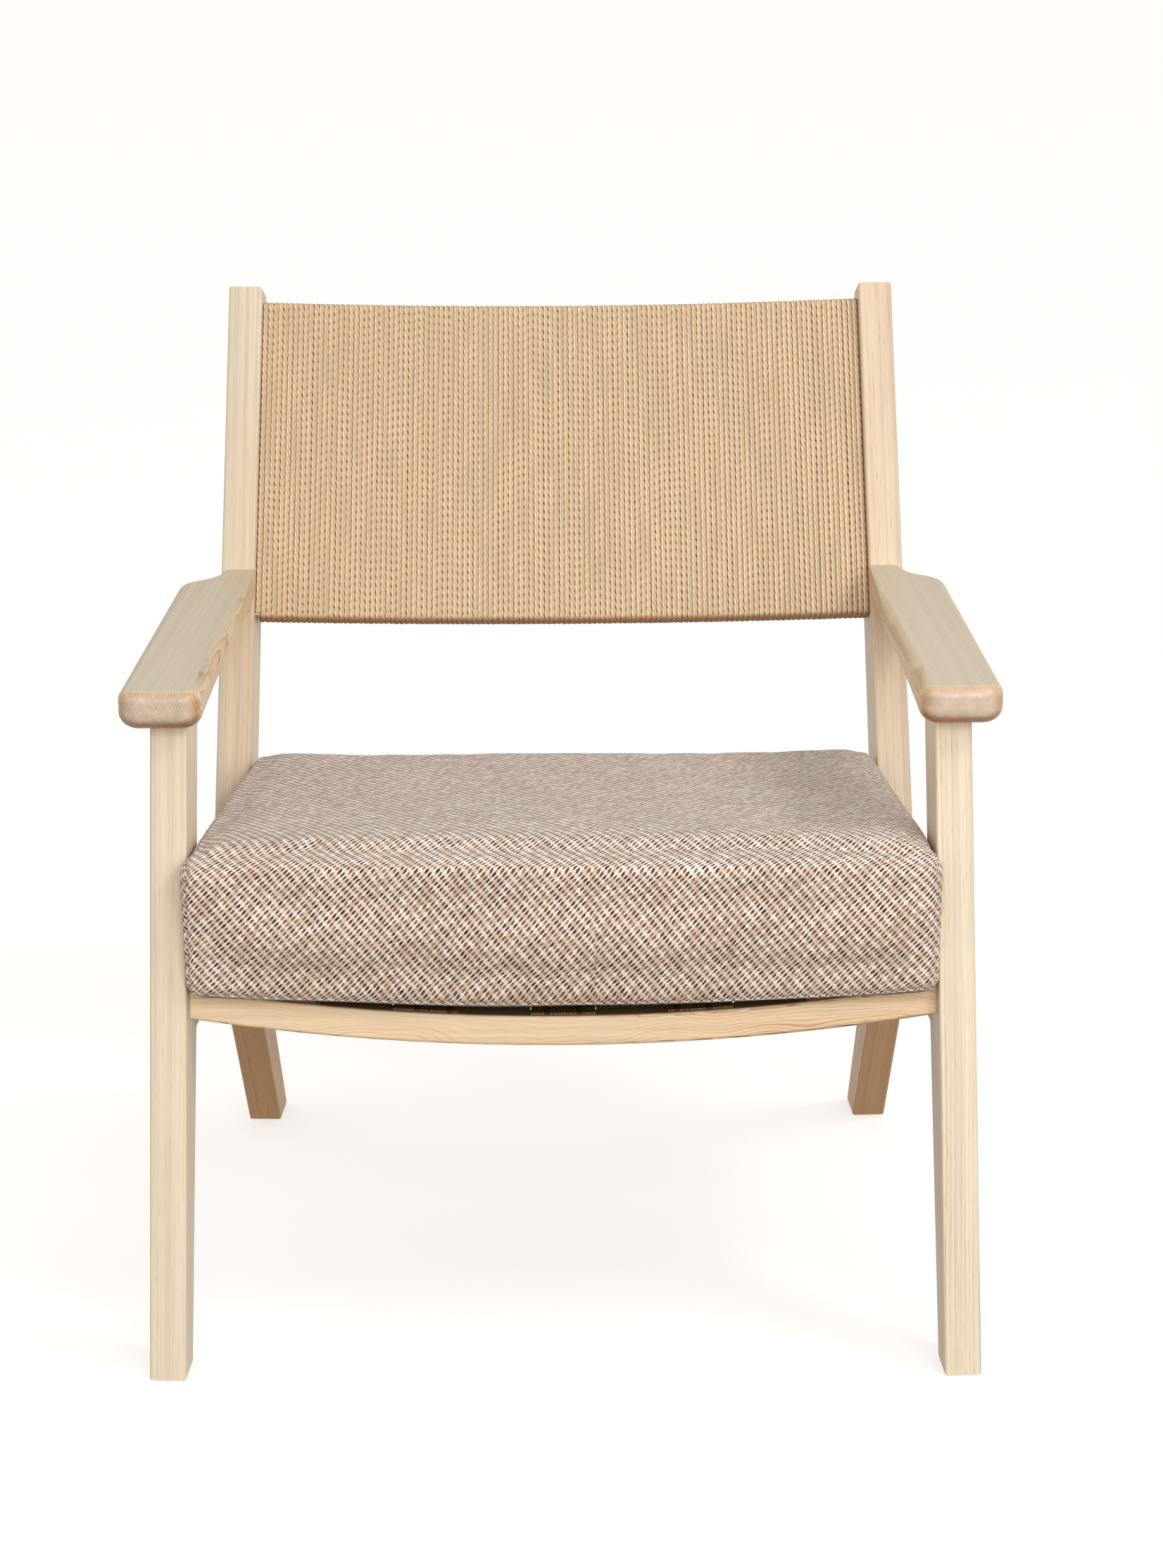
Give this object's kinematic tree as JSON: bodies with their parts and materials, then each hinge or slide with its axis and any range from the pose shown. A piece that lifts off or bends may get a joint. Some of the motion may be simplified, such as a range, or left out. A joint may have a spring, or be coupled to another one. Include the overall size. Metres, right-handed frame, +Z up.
{
  "type": "armchair",
  "caption": "Low wooden lounge armchair with splayed legs, reclined curved back wound with paper cord, scooped seat rail and a thick loose fabric seat cushion",
  "frame": {"origin": "on the floor, under the middle of the chair's bounding box", "axes": "+X to the right as seen from the front, +Y towards the back, +Z up"},
  "size_m": [0.672, 0.6581, 0.7537],
  "materials": {
    "ash": "clear satin oil on pale ash",
    "dowel_wood": "plain turned beech",
    "paper_cord": "unwaxed twisted paper cord",
    "cushion_fabric": "woven wool tweed",
    "foam": "open-cell foam in a fibre wrap",
    "webbing": "woven elastic webbing",
    "glide": "moulded nylon"
  },
  "bodies": {
    "root": {"arm_leg_dowel_left": "dowel_wood", "arm_leg_dowel_right": "dowel_wood", "arm_post_dowel_left": "dowel_wood", "arm_post_dowel_right": "dowel_wood", "armrest_left": "ash", "armrest_right": "ash", "back_bottom_rail": "ash", "back_post_left": "ash", "back_post_right": "ash", "back_top_rail": "ash", "bottom_rail_dowel_left": "dowel_wood", "bottom_rail_dowel_right": "dowel_wood", "cushion_foam": "foam", "front_glide_left": "glide", "front_glide_right": "glide", "front_leg_left": "ash", "front_leg_right": "ash", "front_rail_dowel_left": "dowel_wood", "front_rail_dowel_right": "dowel_wood", "front_seat_rail": "ash", "knee_dowel_left": "dowel_wood", "knee_dowel_right": "dowel_wood", "paper_cord_back": "paper_cord", "rail_leg_dowel_left": "dowel_wood", "rail_leg_dowel_right": "dowel_wood", "rail_post_dowel_left": "dowel_wood", "rail_post_dowel_right": "dowel_wood", "rear_glide_left": "glide", "rear_glide_right": "glide", "rear_leg_left": "ash", "rear_leg_right": "ash", "rear_rail_dowel_left": "dowel_wood", "rear_rail_dowel_right": "dowel_wood", "rear_seat_rail": "ash", "seat_cushion": "cushion_fabric", "seat_strap_cross_1": "webbing", "seat_strap_cross_2": "webbing", "seat_strap_cross_3": "webbing", "seat_strap_long_1": "webbing", "seat_strap_long_2": "webbing", "seat_strap_long_3": "webbing", "seat_strap_long_4": "webbing", "seat_strap_long_5": "webbing", "side_rail_left": "ash", "side_rail_right": "ash", "top_rail_dowel_left": "dowel_wood", "top_rail_dowel_right": "dowel_wood"}
  },
  "joints": []
}
